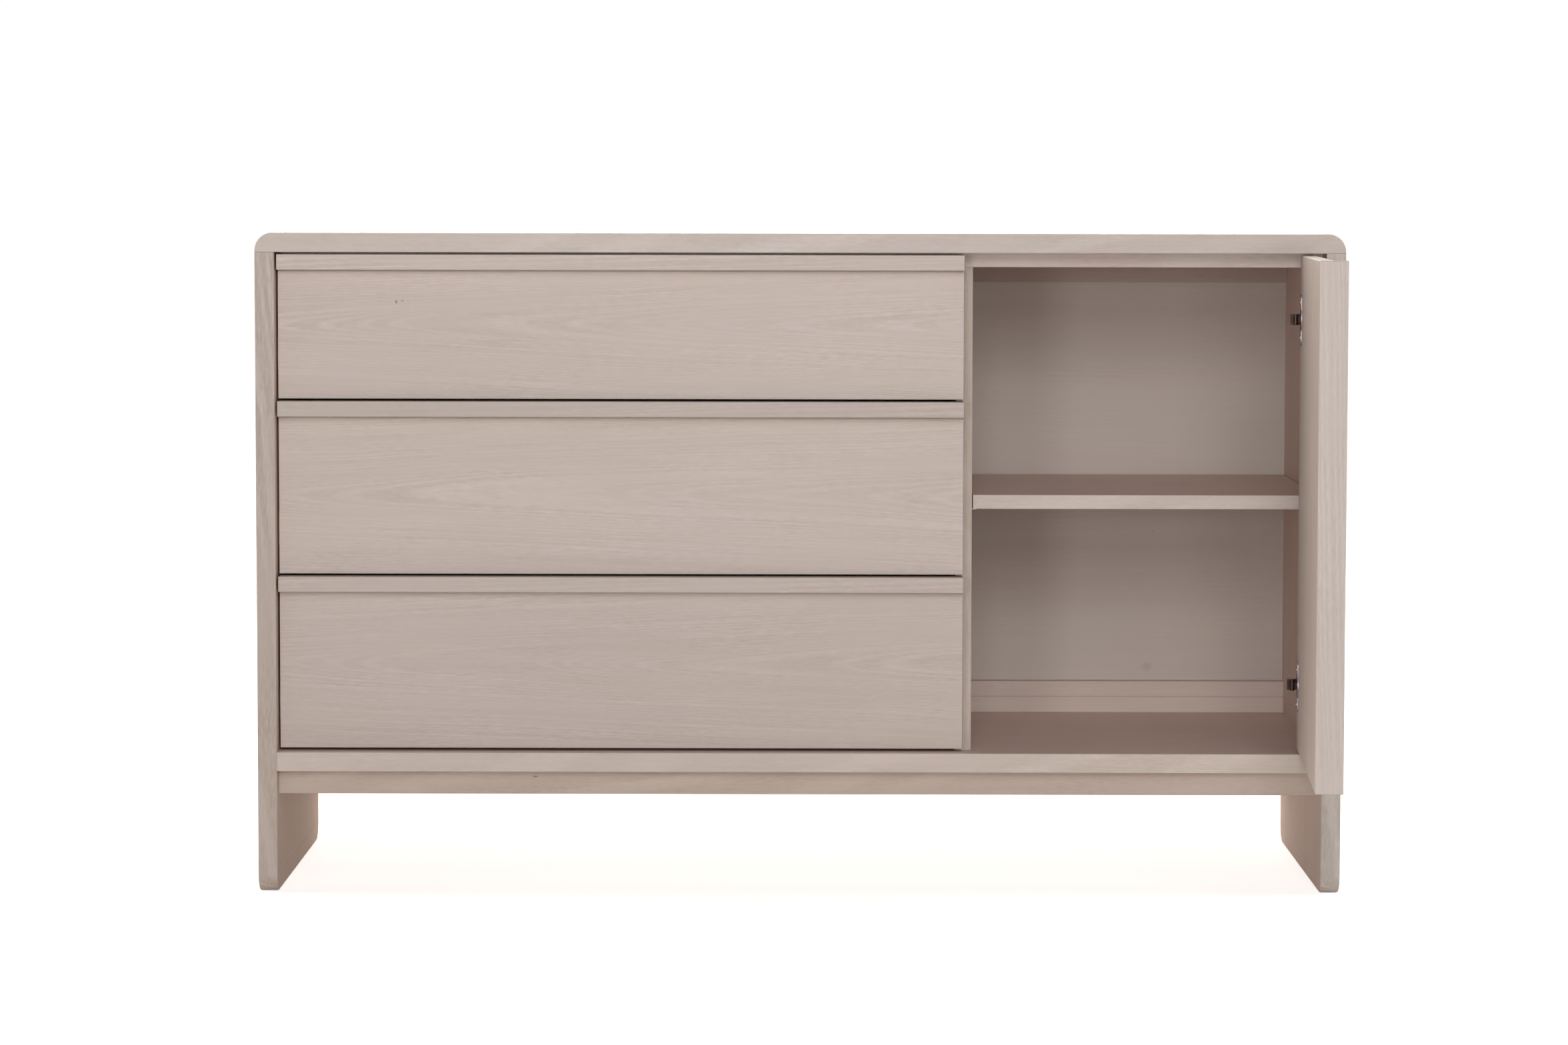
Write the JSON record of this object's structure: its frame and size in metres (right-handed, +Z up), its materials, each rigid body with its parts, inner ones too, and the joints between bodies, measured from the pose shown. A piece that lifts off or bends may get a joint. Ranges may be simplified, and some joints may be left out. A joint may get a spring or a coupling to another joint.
{
  "type": "dresser",
  "caption": "Low oak dresser on panel legs, with stacked drawers at the left, a cupboard door at the right, square lip pulls and a shelf.",
  "frame": {"origin": "on the floor, at the centre of the footprint that the dresser takes with its door open as drawn; the case's front plane lies at y = -0.0372 m", "axes": "+X to the right as seen from the front, +Y to the back, +Z up"},
  "size_m": [1.4, 0.9256, 0.8537],
  "materials": {
    "bleached_oak": "white-washed oak veneer, matt lacquer, straight grain along each board",
    "oak_inside": "white-washed oak veneer on the boards inside the case",
    "back_board": "thin veneered board, matt",
    "drawer_box_birch": "birch ply, clear matt lacquer",
    "beech": "plain beech",
    "galvanised_steel": "rolled strip, bright zinc plate",
    "nickel_steel": "pressed steel, nickel plate",
    "zinc_casting": "die-cast zinc, dull",
    "zinc_screw_steel": "steel screw, zinc plate"
  },
  "bodies": {
    "case": {"top_panel": "bleached_oak", "side_panel_left": "bleached_oak", "side_panel_right": "bleached_oak", "bottom_panel": "bleached_oak", "inner_top": "oak_inside", "partition": "oak_inside", "front_apron": "bleached_oak", "rear_apron": "bleached_oak", "rear_rail_top": "oak_inside", "rear_rail_bottom": "oak_inside", "back_panel": "back_board", "shelf": "oak_inside", "case_dowels": "beech", "cam_fittings": "zinc_casting", "top_screws": "zinc_screw_steel", "back_screws": "zinc_screw_steel", "shelf_pins": "nickel_steel", "runner_case_members": "galvanised_steel", "runner_case_screws": "zinc_screw_steel", "hinge_arms": "nickel_steel", "hinge_arm_pins": "nickel_steel", "hinge_plates": "nickel_steel", "hinge_plate_screws": "zinc_screw_steel"},
    "drawer_upper": {"drawer_upper_box_front": "drawer_box_birch", "drawer_upper_box_back": "drawer_box_birch", "drawer_upper_box_side_left": "drawer_box_birch", "drawer_upper_box_side_right": "drawer_box_birch", "drawer_upper_bottom": "drawer_box_birch", "drawer_upper_front": "bleached_oak", "drawer_upper_pull": "bleached_oak", "runner_drawer_upper": "galvanised_steel", "drawer_upper_screws": "zinc_screw_steel"},
    "runner_upper": {"runner_middle_upper": "galvanised_steel"},
    "drawer_middle": {"drawer_middle_box_front": "drawer_box_birch", "drawer_middle_box_back": "drawer_box_birch", "drawer_middle_box_side_left": "drawer_box_birch", "drawer_middle_box_side_right": "drawer_box_birch", "drawer_middle_bottom": "drawer_box_birch", "drawer_middle_front": "bleached_oak", "drawer_middle_pull": "bleached_oak", "runner_drawer_middle": "galvanised_steel", "drawer_middle_screws": "zinc_screw_steel"},
    "runner_middle": {"runner_middle_middle": "galvanised_steel"},
    "drawer_lower": {"drawer_lower_box_front": "drawer_box_birch", "drawer_lower_box_back": "drawer_box_birch", "drawer_lower_box_side_left": "drawer_box_birch", "drawer_lower_box_side_right": "drawer_box_birch", "drawer_lower_bottom": "drawer_box_birch", "drawer_lower_front": "bleached_oak", "drawer_lower_pull": "bleached_oak", "runner_drawer_lower": "galvanised_steel", "drawer_lower_screws": "zinc_screw_steel"},
    "runner_lower": {"runner_middle_lower": "galvanised_steel"},
    "door": {"door_panel": "bleached_oak", "door_pull": "bleached_oak", "hinge_cups": "nickel_steel", "hinge_cup_pins": "nickel_steel", "hinge_cup_screws": "zinc_screw_steel"},
    "hinge_links": {"hinge_links": "nickel_steel"}
  },
  "joints": [
    {"name": "drawer_upper_slide", "type": "slide", "parent": "case", "child": "drawer_upper", "axis": [0, -1, 0], "range_m": [0, 0.4]},
    {"name": "drawer_middle_slide", "type": "slide", "parent": "case", "child": "drawer_middle", "axis": [0, -1, 0], "range_m": [0, 0.4]},
    {"name": "drawer_lower_slide", "type": "slide", "parent": "case", "child": "drawer_lower", "axis": [0, -1, 0], "range_m": [0, 0.4]},
    {"name": "runner_upper_slide", "type": "slide", "parent": "case", "child": "runner_upper", "axis": [0, -1, 0], "range_m": [0, 0.2]},
    {"name": "runner_middle_slide", "type": "slide", "parent": "case", "child": "runner_middle", "axis": [0, -1, 0], "range_m": [0, 0.2]},
    {"name": "runner_lower_slide", "type": "slide", "parent": "case", "child": "runner_lower", "axis": [0, -1, 0], "range_m": [0, 0.2]},
    {"name": "hinge_link_swing", "type": "hinge", "parent": "case", "child": "hinge_links", "pos_m": [0.6395, -0.00625, 0.50655], "axis": [0, 0, 1], "range_deg": [-3.37, 34.65]},
    {"name": "door_swing", "type": "hinge", "parent": "hinge_links", "child": "door", "pos_m": [0.65384, -0.01822, 0.50655], "axis": [0, 0, 1], "range_deg": [-121.24, 11.76]}
  ],
  "couplings": [
    {"joint": "runner_upper_slide", "follows": "drawer_upper_slide", "ratio": 0.5},
    {"joint": "runner_middle_slide", "follows": "drawer_middle_slide", "ratio": 0.5},
    {"joint": "runner_lower_slide", "follows": "drawer_lower_slide", "ratio": 0.5},
    {"joint": "hinge_link_swing", "follows": "door_swing", "ratio": -0.28571}
  ]
}
